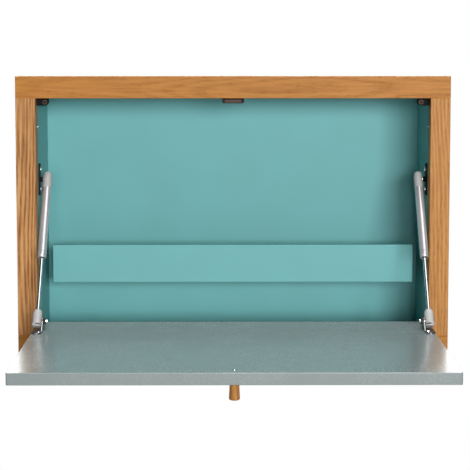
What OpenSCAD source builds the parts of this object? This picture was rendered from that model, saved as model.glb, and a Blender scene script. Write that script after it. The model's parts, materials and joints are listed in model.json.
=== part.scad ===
// Wall-hung secretary desk: an oak-framed case with painted linings and a drop-front lid
// that works as the writing surface, held open by two gas struts.
// Frame: +Y points into the wall, the front faces -Y, +Z is up, X runs along the wall.
// Origin: on the wall plane, midway between the two wall screws.
// The lid is drawn open, resting at the end of its travel.

/* [Case] */
// Width of the case
case_w = 750; // [640:1:900]
// Height of the case
case_h = 488; // [470:1:560]
// Depth from the wall to the front of the frame
case_d = 204; // [204:1:260]
// Depth of the wall screws below the top of the case
screw_drop = 64; // [62:1:72]
// Face width of the frame's upright members
frame_w = 34; // [32:1:36]
// Face height of the frame's rails
rail_w = 38; // [36:1:40]
// Depth of the frame members
frame_d = 36; // [36:1:38]
// How far the outer boards are set in from the frame's edges
board_set = 6; // [4:1:8]
// Thickness of the outer boards
board_t = 16; // [14:1:18]
// Thickness of the painted back panel
back_t = 6; // [4:1:8]
// Depth of the recess behind the back panel for the wall rail
recess_d = 12; // [10:1:14]

/* [Rack] */
// Height of the rack's front board
rack_h = 67; // [50:1:80]
// Front of the rack, measured from the wall
rack_reach = 130; // [100:1:135]
// Gap between the rack's ends and the side linings
rack_gap = 20; // [10:1:30]
// Underside of the rack above the open lid
rack_lift = 57; // [45:1:80]
// How far the rack's ends stop below the top of its front board
rack_drop = 16; // [0:1:20]
// Thickness of the rack's front and ends
rack_t = 12; // [9:1:15]
// Thickness of the rack's floor
rack_floor_t = 9; // [6:1:12]

/* [Lid] */
// Thickness of the lid panel
lid_t = 19; // [18:1:20]
// Gap around the lid's sides when it is shut
side_gap = 2; // [1.5:0.5:3]
// Gap under the lid for the hinge leaves
hinge_gap = 3; // [3:0.5:4]
// Radius of the lid's corners in plan
lid_corner_r = 3; // [1:0.5:6]

/* [Knob] */
// Diameter of the knob at its free end
knob_d = 16.5; // [12:0.5:20]
// Length of the knob
knob_l = 26.5; // [20:0.5:30]
// Distance of the knob from the lid's free edge
knob_inset = 20; // [16:1:40]

/* [Hinges] */
// Length of each butt hinge
hinge_l = 60; // [50:1:75]
// Spacing of the three hinges
hinge_pitch = 260; // [200:1:280]
// Radius of the hinge knuckles
knuckle_r = 2.7; // [2.5:0.1:2.7]
// Radius of the hinge pins
pin_r = 1.5; // [1.2:0.1:1.6]
// Thickness of the hinge leaves
leaf_t = 1.4; // [1.2:0.1:1.4]

/* [Gas struts] */
// Distance from the upper ball to the side lining
upper_ball_inset = 15; // [14:0.5:17]
// Distance from the lower ball to the side lining
lower_ball_inset = 9; // [9:0.5:12]
// Upper ball, forward of the wall
upper_ball_y = -159; // [-162:1:-155]
// Upper ball, above the origin
upper_ball_z = -118.2; // [-122:0.1:-114]
// Lower ball, in front of the hinge line
lower_ball_reach = 75; // [72:1:78]
// Lower ball, above the lid's inner face
lower_ball_lift = 15; // [14:0.5:18]
// Outer diameter of the strut's tube
tube_d = 15; // [15:0.5:15]
// Diameter of the strut's rod
rod_d = 6; // [6:0.5:7]
// Distance from the upper ball to the tube's open end
tube_reach = 147; // [140:1:150]
// Width of the plastic end caps
cap_w = 16; // [16:0.5:17]
// Diameter of the balls
ball_d = 10; // [9:0.5:10]

/* [Hidden] */
$fn = 48;

OAK = "#c78d55";
TEAL = "#6fa9ab";
GREY = "#8fa19d";
STEEL = "#c9cbcc";
CHROME = "#e2e3e6";
PLASTIC = "#b4b2af";
BLACK = "#2b2a29";
BROWN = "#3a2a20";

// Fits
run_fit = 0.05;
snug_fit = 0.01;
pilot_fit = 0.05;

// Levels of the case
x_out = case_w / 2;
x_open = x_out - frame_w;
x_board = x_out - board_set;
x_in = x_board - board_t;
z_top = screw_drop;
z_bottom = z_top - case_h;
z_open_top = z_top - rail_w;
z_open_bottom = z_bottom + rail_w;
z_in_top = z_top - board_set - board_t;
z_in_bottom = z_bottom + board_set + board_t;
y_front = -case_d;
y_frame_back = y_front + frame_d;
y_back_rear = -recess_d;
y_back_front = y_back_rear - back_t;

// Hinge axis: just in front of the frame, in the middle of the gap under the shut lid
axis_y = y_front - 3;
axis_z = z_open_bottom + hinge_gap / 2;

// Lid, open: its outer face looks down and its inner face looks up
lid_under = axis_z + 3;
lid_over = lid_under + lid_t;
lid_back = axis_y - hinge_gap / 2;
lid_x = x_open - side_gap;
lid_len = z_open_top - z_open_bottom - hinge_gap - side_gap;
lid_free = lid_back - lid_len;
// Inner face of the lid when it is shut
y_shut = axis_y + lid_over - axis_z;
shut_gap = 0.5;

// Painted floor on the bottom board, below the top of the bottom rail
floor_t = 4;

// Wall rail and cleat
rail_x = 300;
cleat_x = 350;
hole_d = 6;
hole_pitch = 400;
rail_low = -25;
rail_high = 8;
batten_h = 40;

// Dowels
dowel_d = 8;
dowel_l = 30;
frame_dowel_y = [y_front + 9, y_front + 27];
board_dowel_y = [-140, -30];

// Magnetic catch
catch_w = 38;
catch_h = 9.5;
catch_corner_r = 3;
catch_front = y_shut + shut_gap;
strike_t = 1;
strike_h = 7;

// Stop pins in the stiles
stop_pin_d = 4;
stop_pin_out = 3;
stop_pin_in = 12;
stop_pin_z = z_open_top - 50;
stop_pin_y = y_shut + shut_gap + stop_pin_d / 2;

// Corner stops under the top rail
corner_h = 12;
bumper_d = 8;
bumper_l = 3;
bumper_x = x_open - 14.5;
bumper_z = z_open_top - 7.5;

// Strut end points
upper_ball = [x_open - upper_ball_inset, upper_ball_y, upper_ball_z];
lower_ball = [x_open - lower_ball_inset, axis_y - lower_ball_reach, lid_over + lower_ball_lift];
strut = upper_ball - lower_ball;
strut_len = norm(strut);
strut_tilt = atan2(strut.y, strut.z);
strut_splay = asin(strut.x / strut_len);

// Strut pieces, measured along the strut from the lower ball
ball_r = ball_d / 2;
cap_r = cap_w / 2;
neck_r = 2.5;
mouth_r = 4.4;
rod_cap_l = 20;
rod_cap_tail = lower_ball_lift - 4.5;
tube_cap_l = 16;
tube_cap_tail = 12.5;
rod_r = rod_d / 2;
rod_start = 9;
tube_r = tube_d / 2;
tube_wall = 1;
tube_start = strut_len - tube_reach;
tube_end = strut_len - tube_cap_l;
end_t = 2;
guide_l = 12;
piston_start = tube_start + end_t + guide_l + 6;
piston_l = 10;
stud_l = 7;
stud_r = 3;

// Upper brackets on the side linings
up_plate_h = 56;
up_plate_w = 20;
up_plate_t = 2.5;
up_plate_y = upper_ball_y + 2;
up_screw_off = 17.5;
collar_r = 5;
split_gap = 0.4;

// Lower brackets on the lid
low_plate_t = 2;
low_plate_x = lower_ball.x - cap_r - 0.5;
low_tab_x = low_plate_x - low_plate_t;
low_tab_w = 48;
low_tab_r = 7.5;
low_flange_l = 78;
low_flange_w = 17;
low_screw_off = 32;
low_screw_x = lower_ball.x - 6;

// Screws: [shank radius, shank length, head radius, head height]
PAN = [1.75, 14, 3.8, 2.2];
LOW_PAN = [1.75, 13, 3.6, 1.8];
SMALL = [1.2, 11, 2.6, 1.2];
BACK = [1.75, 26, 3.8, 2.5];

// Box between two corners
module block(low, high) {
    translate(low)
        cube(high - low);
}

// Box that spans the width from -x to x
module span(x, y0, y1, z0, z1) {
    block([-x, y0, z0], [x, y1, z1]);
}

// Cylinder along X that starts at a point and runs to the given side
module bar_x(r, length, side = 1) {
    rotate([0, 90 * side, 0])
        cylinder(r = r, h = length);
}

// One side of the desk: children are drawn for the right side
module on_side(side) {
    mirror([side < 0 ? 1 : 0, 0, 0])
        children();
}

// Outline of a rectangle with round corners, centred
module round_rect(w, h, r) {
    square([w - 2 * r, h], center = true);
    square([w, h - 2 * r], center = true);
    for (x = [-1, 1], y = [-1, 1])
        translate([x * (w / 2 - r), y * (h / 2 - r)])
            circle(r);
}

// Pan-head screw along Z, its head's underside at z = 0
module pan_screw(s) {
    translate([0, 0, -s[1]])
        cylinder(r = s[0], h = s[1] + s[3] / 2);
    cylinder(r1 = s[2], r2 = s[2] * 0.8, h = s[3]);
}

// Countersunk screw along Z, its head's top at z = 0
module flush_screw(s) {
    translate([0, 0, -s[1]])
        cylinder(r = s[0], h = s[1] - s[3] / 2);
    translate([0, 0, -s[3]])
        cylinder(r1 = s[0], r2 = s[2], h = s[3]);
}

// Blind hole for a screw's shank
module pilot(s) {
    translate([0, 0, -s[1] - 1])
        cylinder(r = s[0] + pilot_fit, h = s[1] + 2);
}

// Countersink and hole for a flush screw
module sink(s) {
    pilot(s);
    translate([0, 0, -s[3]])
        cylinder(r1 = s[0] + pilot_fit, r2 = s[2] + pilot_fit, h = s[3]);
    cylinder(r = s[2] + pilot_fit, h = 1);
}

/* Places that several pieces share */

module at_dowels() {
    for (x = [-1, 1], z = [z_open_top, z_open_bottom], y = frame_dowel_y)
        translate([x * (x_open + frame_w / 2), y, z])
            children();
    for (x = [-1, 1], z = [z_in_top, z_in_bottom], y = board_dowel_y)
        translate([x * (x_board - board_t / 2), y, z])
            children();
}

module at_wall_holes() {
    for (x = [-1, 1])
        translate([x * hole_pitch / 2, 0, 0])
            rotate([-90, 0, 0])
                children();
}

// Screws through the back panel into the rack's ends
module at_back_screws() {
    for (x = [-1, 1], z = [rack_low + 10, rack_low + rack_end_h - 10])
        translate([x * (rack_x - rack_t / 2), y_back_rear, z])
            rotate([-90, 0, 0])
                children();
}

module at_upper_screws(side) {
    for (z = [-1, 1])
        translate([side * (x_open - up_plate_t), up_plate_y, upper_ball_z + z * up_screw_off])
            rotate([0, -90 * side, 0])
                children();
}

module at_lower_screws(side) {
    for (y = [-1, 1])
        translate([side * low_screw_x, lower_ball.y + y * low_screw_off, lid_over + low_plate_t])
            children();
}

module at_hinges() {
    for (i = [-1, 0, 1])
        translate([i * hinge_pitch, axis_y, axis_z])
            children();
}

// Screws of the leaf on the bottom rail
module at_case_leaf_screws() {
    at_hinges()
        for (x = [-1, 1])
            translate([x * hinge_l * 0.36, 14, -hinge_gap / 2 + leaf_t])
                children();
}

// Screws of the leaf on the lid's back edge
module at_lid_leaf_screws() {
    at_hinges()
        for (x = [-1, 1])
            translate([x * hinge_l * 0.36, -hinge_gap / 2 + leaf_t, 13])
                rotate([-90, 0, 0])
                    children();
}

// Frame along a strut: the origin is the lower ball, +Z points to the upper ball
// and +X points outboard
module along_strut(side) {
    translate([side * lower_ball.x, lower_ball.y, lower_ball.z])
        rotate([-strut_tilt, 0, 0])
            rotate([0, strut_splay, side < 0 ? 180 : 0])
                children();
}

/* Face frame */

module drilled() {
    difference() {
        children();
        at_dowels()
            cylinder(d = dowel_d + 2 * snug_fit, h = dowel_l + 1, center = true);
    }
}

module frame_top_rail() {
    color(OAK)
        drilled()
            span(x_out, y_front, y_frame_back, z_open_top, z_top);
}

module frame_bottom_rail() {
    color(OAK)
        difference() {
            drilled()
                span(x_out, y_front, y_frame_back, z_bottom, z_open_bottom);
            at_case_leaf_screws()
                pilot(SMALL);
        }
}

module frame_stile(side) {
    color(OAK)
        difference() {
            drilled()
                on_side(side)
                    block([x_open, y_front, z_open_bottom], [x_out, y_frame_back, z_open_top]);
            translate([side * (x_open - 1), stop_pin_y, stop_pin_z])
                bar_x(stop_pin_d / 2 + snug_fit, stop_pin_in + 1.5, side);
        }
}

/* Case */

module board_top() {
    color(OAK)
        drilled()
            span(x_board, y_frame_back, 0, z_in_top, z_in_top + board_t);
}

module board_bottom() {
    color(OAK)
        drilled()
            span(x_board, y_frame_back, 0, z_in_bottom - board_t, z_in_bottom);
}

module board_side(side) {
    color(OAK)
        drilled()
            on_side(side)
                block([x_in, y_frame_back, z_in_bottom], [x_board, 0, z_in_top]);
}

module lining_top() {
    color(TEAL)
        span(x_in, y_frame_back, y_back_front, z_open_top, z_in_top);
}

module lining_side(side) {
    color(TEAL)
        difference() {
            on_side(side)
                block([x_open, y_frame_back, z_in_bottom], [x_in, y_back_front, z_open_top]);
            at_upper_screws(side)
                pilot(PAN);
        }
}

module floor_panel() {
    color(TEAL)
        span(x_open, y_frame_back, y_back_front, z_in_bottom, z_in_bottom + floor_t);
}

module back_panel() {
    color(TEAL)
        difference() {
            span(x_in, y_back_front, y_back_rear, z_in_bottom, z_in_top);
            at_back_screws()
                pilot(BACK);
        }
}

/* Rack */

rack_x = x_open - rack_gap;
rack_low = lid_over + rack_lift;
rack_end_h = rack_h - rack_drop;

module rack_front() {
    color(TEAL)
        span(rack_x, -rack_reach, -rack_reach + rack_t, rack_low, rack_low + rack_h);
}

module rack_floor() {
    color(TEAL)
        span(rack_x - rack_t, -rack_reach + rack_t, y_back_front, rack_low, rack_low + rack_floor_t);
}

module rack_end(side) {
    color(TEAL)
        difference() {
            on_side(side)
                block([rack_x - rack_t, -rack_reach + rack_t, rack_low],
                      [rack_x, y_back_front, rack_low + rack_end_h]);
            at_back_screws()
                pilot(BACK);
        }
}

/* Hanging hardware */

// The rail's top edge slopes so that the case hooks over it and is drawn to the wall
module wall_rail() {
    color(OAK)
        difference() {
            rotate([90, 0, 90])
                linear_extrude(2 * rail_x, center = true)
                    polygon([[0, rail_low], [0, rail_high], [y_back_rear, rail_high + recess_d],
                             [y_back_rear, rail_low]]);
            at_wall_holes()
                cylinder(d = hole_d, h = 4 * recess_d, center = true);
        }
}

module case_cleat() {
    color(OAK)
        rotate([90, 0, 90])
            linear_extrude(2 * cleat_x, center = true)
                polygon([[0, rail_high], [0, z_in_top], [y_back_rear, z_in_top],
                         [y_back_rear, rail_high + recess_d]]);
}

module spacer_batten() {
    color(OAK)
        span(cleat_x, y_back_rear, 0, z_in_bottom, z_in_bottom + batten_h);
}

module back_screws() {
    color(STEEL)
        at_back_screws()
            pan_screw(BACK);
}

module dowels() {
    color(OAK)
        at_dowels()
            cylinder(d = dowel_d, h = dowel_l, center = true);
}

/* Catch and stops */

module catch_housing() {
    slot_w = catch_w - 10;
    color(BROWN)
        difference() {
            translate([0, catch_front, z_open_top - catch_h / 2])
                rotate([-90, 0, 0])
                    linear_extrude(y_frame_back - catch_front)
                        union() {
                            round_rect(catch_w, catch_h, catch_corner_r);
                            translate([-catch_w / 2, -catch_h / 2])
                                square([catch_w, catch_h / 2]);
                        }
            span(slot_w / 2, catch_front - 1, catch_front + magnet_l, magnet_z - 2, magnet_z + 2);
        }
}

magnet_l = 12;
magnet_z = z_open_top - catch_h / 2 - 0.5;

module catch_magnet() {
    magnet_w = catch_w - 10 - 2 * snug_fit;
    color(BLACK)
        span(magnet_w / 2, catch_front, catch_front + magnet_l - snug_fit,
             magnet_z - 2 + snug_fit, magnet_z + 2 - snug_fit);
}

module stop_pins() {
    color(STEEL)
        for (side = [-1, 1])
            translate([side * (x_open - stop_pin_out), stop_pin_y, stop_pin_z])
                bar_x(stop_pin_d / 2, stop_pin_out + stop_pin_in, side);
}

module corner_stops() {
    seat = bumper_d / 2 + 2;
    color(BLACK)
        for (side = [-1, 1])
            on_side(side)
                difference() {
                    translate([0, catch_front + 1, 0])
                        rotate([90, 0, 0])
                            mirror([0, 0, 1])
                                linear_extrude(y_frame_back - catch_front - 1)
                                    union() {
                                        translate([bumper_x, z_open_top - corner_h])
                                            square([x_open - bumper_x, corner_h]);
                                        translate([bumper_x - seat, bumper_z])
                                            square([2 * seat, z_open_top - bumper_z]);
                                        translate([bumper_x, bumper_z])
                                            circle(seat);
                                    }
                    translate([bumper_x, catch_front, bumper_z])
                        rotate([-90, 0, 0])
                            cylinder(d = bumper_d + 2 * snug_fit, h = bumper_l);
                }
}

module corner_bumpers() {
    color("#d8d2c8")
        for (side = [-1, 1])
            translate([side * bumper_x, catch_front, bumper_z])
                rotate([-90, 0, 0])
                    cylinder(d = bumper_d, h = bumper_l - snug_fit);
}

/* Upper strut brackets */

// Plate on the side lining, with the stud's collar riveted to it
module upper_bracket(side) {
    collar_end = upper_ball.x + cap_r + split_gap;
    color(BLACK)
        difference() {
            union() {
                translate([side * x_open, up_plate_y, upper_ball.z])
                    rotate([0, -90 * side, 0])
                        linear_extrude(up_plate_t)
                            round_rect(up_plate_h, up_plate_w, 5);
                translate([side * collar_end, upper_ball.y, upper_ball.z])
                    bar_x(collar_r, x_open - collar_end - up_plate_t / 2, side);
            }
            at_upper_screws(side)
                pilot(PAN);
        }
}

module upper_bracket_screws() {
    color(STEEL)
        for (side = [-1, 1])
            at_upper_screws(side)
                pan_screw(PAN);
}

/* Hinges */

knuckle_l = hinge_l / 3;
knuckle_gap = 0.3;
// How far each leaf is cut back around the other leaf's knuckles, from 1 mm ahead of the axis
leaf_notch = 1 + knuckle_r + 0.4;

// Knuckles of one leaf: the outer two, or the middle one
module knuckles(outer, bore_r) {
    ends = outer ? [-1, 1] : [0];
    cut = outer ? 0 : knuckle_gap;
    difference() {
        for (i = ends)
            translate([i * knuckle_l - knuckle_l / 2 + cut, 0, 0])
                bar_x(knuckle_r, knuckle_l - 2 * cut);
        translate([-hinge_l, 0, 0])
            bar_x(bore_r, 2 * hinge_l);
    }
}

module hinge_case_leaves() {
    leaf_reach = 21;
    color(STEEL)
        difference() {
            at_hinges() {
                knuckles(true, pin_r + snug_fit);
                difference() {
                    translate([-hinge_l / 2, 0, -hinge_gap / 2])
                        cube([hinge_l, leaf_reach, leaf_t]);
                    translate([-hinge_l, 0, 0])
                        bar_x(pin_r + snug_fit, 2 * hinge_l);
                    translate([-knuckle_l / 2 - knuckle_gap, -1, -hinge_gap])
                        cube([knuckle_l + 2 * knuckle_gap, leaf_notch, 2 * hinge_gap]);
                }
            }
            at_case_leaf_screws()
                sink(SMALL);
        }
}

module hinge_lid_leaves() {
    leaf_reach = lid_over - axis_z - 1;
    color(STEEL)
        difference() {
            at_hinges() {
                knuckles(false, pin_r + run_fit);
                difference() {
                    translate([-hinge_l / 2, -hinge_gap / 2, 0])
                        cube([hinge_l, leaf_t, leaf_reach]);
                    translate([-hinge_l, 0, 0])
                        bar_x(pin_r + run_fit, 2 * hinge_l);
                    for (i = [-1, 1])
                        translate([i * knuckle_l - knuckle_l / 2 - knuckle_gap, -hinge_gap, -1])
                            cube([knuckle_l + 2 * knuckle_gap, 2 * hinge_gap, leaf_notch]);
                }
            }
            at_lid_leaf_screws()
                sink(SMALL);
        }
}

module hinge_pins() {
    color(STEEL)
        at_hinges()
            translate([-hinge_l / 2, 0, 0])
                bar_x(pin_r, hinge_l);
}

module hinge_case_screws() {
    color(STEEL)
        at_case_leaf_screws()
            flush_screw(SMALL);
}

module hinge_lid_screws() {
    color(STEEL)
        at_lid_leaf_screws()
            flush_screw(SMALL);
}

/* Lid */

knob_y = lid_free + knob_inset;
KNOB_SCREW = [2, 36, 4.2, 2.4];

module lid_panel() {
    color(GREY)
        difference() {
            translate([0, lid_back - lid_len / 2, lid_under])
                linear_extrude(lid_t)
                    round_rect(2 * lid_x, lid_len, lid_corner_r);
            translate([0, knob_y, lid_over])
                sink(KNOB_SCREW);
            span(catch_w / 2, lid_free + 0.5, lid_free + 0.5 + strike_h, lid_over - strike_t, lid_over + 1);
            at_lid_leaf_screws()
                pilot(SMALL);
            for (side = [-1, 1])
                at_lower_screws(side)
                    pilot(LOW_PAN);
        }
}

module knob() {
    edge_r = 2.5;
    root_r = knob_d / 2 - 1;
    color(OAK)
        translate([0, knob_y, lid_under])
            difference() {
                mirror([0, 0, 1])
                    rotate_extrude()
                        union() {
                            polygon([[0, 0], [root_r, 0], [knob_d / 2, knob_l - edge_r],
                                     [knob_d / 2 - edge_r, knob_l], [0, knob_l]]);
                            intersection() {
                                translate([knob_d / 2 - edge_r, knob_l - edge_r])
                                    circle(edge_r);
                                translate([knob_d / 2 - edge_r, knob_l - edge_r])
                                    square(edge_r);
                            }
                        }
                translate([0, 0, lid_t])
                    pilot(KNOB_SCREW);
            }
}

module knob_screw() {
    color(STEEL)
        translate([0, knob_y, lid_over])
            flush_screw(KNOB_SCREW);
}

module catch_strike() {
    color(GREY)
        span(catch_w / 2 - snug_fit, lid_free + 0.5 + snug_fit, lid_free + 0.5 + strike_h - snug_fit,
             lid_over - strike_t, lid_over);
}

/* Lower strut brackets */

// Angle bracket: a flange screwed to the lid and a tab beside the strut's end cap
module lid_bracket(side) {
    color(STEEL)
        difference() {
            on_side(side)
                union() {
                    translate([low_tab_x, lower_ball.y - low_flange_l / 2, lid_over])
                        cube([low_flange_w, low_flange_l, low_plate_t]);
                    translate([low_tab_x, lower_ball.y, lower_ball.z])
                        rotate([90, 0, 90])
                            linear_extrude(low_plate_t)
                                lid_tab_outline();
                }
            at_lower_screws(side)
                pilot(LOW_PAN);
            translate([side * (low_tab_x - 1), lower_ball.y, lower_ball.z])
                bar_x(stud_r + snug_fit, low_plate_t + 2, side);
        }
}

// Outline of the tab about the ball: round at the top, its flanks run down to the flange
module lid_tab_outline() {
    foot = low_tab_w / 2;
    circle(low_tab_r);
    polygon([[-foot, -lower_ball_lift], [foot, -lower_ball_lift], [low_tab_r, 0], [-low_tab_r, 0]]);
}

module lid_bracket_screws() {
    color(STEEL)
        for (side = [-1, 1])
            at_lower_screws(side)
                pan_screw(LOW_PAN);
}

// Ball and threaded stud that carry the rod's end cap
module lid_ball_studs() {
    thread_l = 9;
    color(STEEL)
        for (side = [-1, 1])
            on_side(side)
                translate(lower_ball) {
                    sphere(ball_r);
                    bar_x(neck_r, lower_ball.x - low_tab_x, -1);
                    translate([low_plate_x - lower_ball.x, 0, 0])
                        bar_x(stud_r, thread_l, -1);
                }
}

module lid_stud_nuts() {
    nut_t = 4.5;
    nut_d = 11;
    color(CHROME)
        for (side = [-1, 1])
            on_side(side)
                translate([low_tab_x - nut_t, lower_ball.y, lower_ball.z])
                    difference() {
                        rotate([0, 90, 0])
                            cylinder(d = nut_d, h = nut_t, $fn = 6);
                        translate([-1, 0, 0])
                            bar_x(stud_r + snug_fit, nut_t + 2);
                    }
}

/* Gas struts */

// End cap turned about the strut from [radius, height] points, with a socket for the ball
// mouth is the side on which the ball goes in: 1 for outboard, -1 for inboard
module end_cap(profile, mouth, fit, bore_r, bore_from) {
    color(PLASTIC)
        difference() {
            rotate_extrude()
                polygon(profile);
            sphere(ball_r + fit);
            bar_x(mouth_r, cap_w, mouth);
            translate([0, 0, bore_from])
                cylinder(r = bore_r + snug_fit, h = rod_cap_l);
        }
}

module strut_rod(side) {
    color(CHROME)
        along_strut(side)
            translate([0, 0, rod_start])
                cylinder(r = rod_r, h = piston_start + piston_l / 2 - rod_start);
}

module rod_piston(side) {
    color(BLACK)
        along_strut(side)
            translate([0, 0, piston_start])
                difference() {
                    cylinder(r = tube_r - tube_wall - run_fit, h = piston_l);
                    translate([0, 0, -1])
                        cylinder(r = rod_r + snug_fit, h = piston_l / 2 + 1);
                }
}

// Bullet-shaped cap; its tail is short enough to pass over the bracket's flange
module rod_cap(side) {
    profile = [
        [0, -rod_cap_tail], [cap_r - 2, -rod_cap_tail], [cap_r, 2 - rod_cap_tail],
        [cap_r, rod_cap_l - 8], [cap_r - 0.5, rod_cap_l - 5], [cap_r - 1.5, rod_cap_l - 2],
        [cap_r - 3, rod_cap_l], [0, rod_cap_l]
    ];
    along_strut(side)
        end_cap(profile, -1, run_fit, rod_r, rod_start);
}

// Tube with a lip rolled over the rod guide and a stud on its closed end
module strut_tube(side) {
    bore = tube_r - tube_wall;
    color(STEEL)
        along_strut(side)
            rotate_extrude()
                polygon([
                    [rod_r + 2, tube_start], [tube_r, tube_start], [tube_r, tube_end],
                    [stud_r, tube_end], [stud_r, tube_end + stud_l], [0, tube_end + stud_l],
                    [0, tube_end - end_t], [bore, tube_end - end_t], [bore, tube_start + end_t],
                    [rod_r + 2, tube_start + end_t]
                ]);
}

module tube_guide(side) {
    color(BLACK)
        along_strut(side)
            translate([0, 0, tube_start + end_t])
                difference() {
                    cylinder(r = tube_r - tube_wall - snug_fit, h = guide_l);
                    translate([0, 0, -1])
                        cylinder(r = rod_r + run_fit, h = guide_l + 2);
                }
}

// Barrel-shaped cap with a small nub on its end
module tube_cap(side) {
    nub_r = 2;
    nub_h = 1;
    profile = [
        [0, -tube_cap_tail - nub_h], [nub_r, -tube_cap_tail - nub_h], [nub_r, -tube_cap_tail],
        [cap_r - 1.4, -tube_cap_tail], [cap_r - 0.7, 1.2 - tube_cap_tail], [cap_r, -5], [cap_r, 5],
        [cap_r - 0.5, tube_cap_l - 1.5], [cap_r - 1.2, tube_cap_l], [0, tube_cap_l]
    ];
    along_strut(side)
        translate([0, 0, strut_len])
            rotate([180, 0, 0])
                end_cap(profile, 1, snug_fit, stud_r, tube_cap_l - stud_l - 1);
}

// Ball inside the upper cap; its neck ends level with the cap's outer face
module tube_ball(side) {
    color(STEEL)
        along_strut(side)
            translate([0, 0, strut_len]) {
                sphere(ball_r);
                bar_x(neck_r, cap_r);
            }
}

frame_top_rail();
frame_bottom_rail();
frame_stile(-1);  // frame_stile_left
frame_stile(1);  // frame_stile_right
board_top();
board_bottom();
board_side(-1);  // board_left
board_side(1);  // board_right
lining_top();
lining_side(-1);  // lining_left
lining_side(1);  // lining_right
floor_panel();
back_panel();
rack_front();
rack_floor();
rack_end(-1);  // rack_end_left
rack_end(1);  // rack_end_right
case_cleat();
wall_rail();
spacer_batten();
back_screws();
dowels();
catch_housing();
catch_magnet();
stop_pins();
corner_stops();
corner_bumpers();
upper_bracket(-1);  // upper_bracket_left
upper_bracket(1);  // upper_bracket_right
upper_bracket_screws();
hinge_case_leaves();
hinge_pins();
hinge_case_screws();
lid_panel();
hinge_lid_leaves();
hinge_lid_screws();
knob();
knob_screw();
catch_strike();
lid_bracket(-1);  // lid_bracket_left
lid_bracket(1);  // lid_bracket_right
lid_bracket_screws();
lid_ball_studs();
lid_stud_nuts();
strut_rod(-1);  // rod_left
rod_piston(-1);  // rod_piston_left
rod_cap(-1);  // rod_cap_left
strut_rod(1);  // rod_right
rod_piston(1);  // rod_piston_right
rod_cap(1);  // rod_cap_right
strut_tube(-1);  // tube_left
tube_guide(-1);  // tube_guide_left
tube_cap(-1);  // tube_cap_left
tube_ball(-1);  // tube_ball_left
strut_tube(1);  // tube_right
tube_guide(1);  // tube_guide_right
tube_cap(1);  // tube_cap_right
tube_ball(1);  // tube_ball_right
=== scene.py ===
"""Looks of a wall-hung secretary desk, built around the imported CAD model. Lengths are in metres."""
import json
import math

import bmesh
import bpy
from mathutils import Matrix, Vector


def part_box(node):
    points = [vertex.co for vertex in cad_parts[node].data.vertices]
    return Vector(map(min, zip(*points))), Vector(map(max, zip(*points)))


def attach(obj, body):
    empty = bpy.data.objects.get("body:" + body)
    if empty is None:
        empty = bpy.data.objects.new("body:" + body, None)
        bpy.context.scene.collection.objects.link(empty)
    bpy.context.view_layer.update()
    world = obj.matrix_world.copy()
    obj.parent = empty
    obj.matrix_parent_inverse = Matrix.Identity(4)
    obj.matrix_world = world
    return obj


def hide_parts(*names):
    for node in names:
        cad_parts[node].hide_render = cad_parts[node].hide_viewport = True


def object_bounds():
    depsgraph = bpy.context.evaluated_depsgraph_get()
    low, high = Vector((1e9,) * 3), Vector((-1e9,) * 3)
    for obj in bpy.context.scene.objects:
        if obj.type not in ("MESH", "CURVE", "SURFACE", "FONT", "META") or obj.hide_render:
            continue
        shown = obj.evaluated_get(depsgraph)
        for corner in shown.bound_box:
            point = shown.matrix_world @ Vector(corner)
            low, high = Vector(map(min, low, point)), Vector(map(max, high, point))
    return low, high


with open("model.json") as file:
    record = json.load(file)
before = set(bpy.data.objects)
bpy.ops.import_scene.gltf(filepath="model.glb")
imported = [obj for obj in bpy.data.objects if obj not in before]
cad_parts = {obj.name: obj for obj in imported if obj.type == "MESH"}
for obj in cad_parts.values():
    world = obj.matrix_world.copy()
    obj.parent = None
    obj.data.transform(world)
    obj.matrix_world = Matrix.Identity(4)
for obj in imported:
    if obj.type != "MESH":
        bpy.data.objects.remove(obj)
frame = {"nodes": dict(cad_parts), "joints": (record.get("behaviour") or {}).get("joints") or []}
cad_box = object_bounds()

MM = 0.001
CASE, LID = "case", "lid"
SIDES = (("left", -1), ("right", 1))
JOINTS = {joint["name"]: joint for joint in frame["joints"]}
AXES = {"X": 0, "Y": 1, "Z": 2}
UNIT = {"X": Vector((1, 0, 0)), "Y": Vector((0, 1, 0)), "Z": Vector((0, 0, 1))}
scene = bpy.context.scene

# ---------------------------------------------------------------- camera, lights, stage

CAMERA_AT = (-0.0128, -2.8654, 0.1382)
CAMERA_DOWN, CAMERA_TURN = 5.387, -0.344  # degrees
CAMERA_LENS, CAMERA_SENSOR = 118.4, 36
CAMERA_SHIFT = -0.12

camera_data = bpy.data.cameras.new("camera")
camera_data.sensor_width = CAMERA_SENSOR
camera_data.lens = CAMERA_LENS
camera_data.shift_y = CAMERA_SHIFT
camera = bpy.data.objects.new("camera", camera_data)
camera.location = CAMERA_AT
camera.rotation_euler = (math.radians(90 - CAMERA_DOWN), 0, math.radians(CAMERA_TURN))
scene.collection.objects.link(camera)
scene.camera = camera
scene.view_settings.view_transform = "Standard"

DESK_CENTRE = Vector((0, -0.1, -0.17))
# Name, degrees right of and above the desk's own axis, distance, width and height, power
LIGHTS = (
    ("key_light", 14, 8.5, 9, (2.9, 1.8), 560),
    ("fill_light", 1, 4.5, 9, (1.5, 1.8), 145),
    ("top_light", 0, 78, 5, (4.2, 2.0), 212),
    ("back_light", 180, 18, 6, (4.0, 2.2), 190),
    ("gloss_light", 28, 46, 5, (4.2, 2.4), 62),
)


def panel_light(name, right, up, distance, size, power):
    """Soft rectangular light that faces the desk."""
    data = bpy.data.lights.new(name, "AREA")
    data.shape = "RECTANGLE"
    data.size, data.size_y = size
    data.energy = power
    light = bpy.data.objects.new(name, data)
    a, e = math.radians(right), math.radians(up)
    away = Vector((math.sin(a) * math.cos(e), -math.cos(a) * math.cos(e), math.sin(e)))
    light.location = DESK_CENTRE + away * distance
    light.rotation_mode = "QUATERNION"
    light.rotation_quaternion = away.to_track_quat("Z", "Y")
    scene.collection.objects.link(light)
    return light


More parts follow.
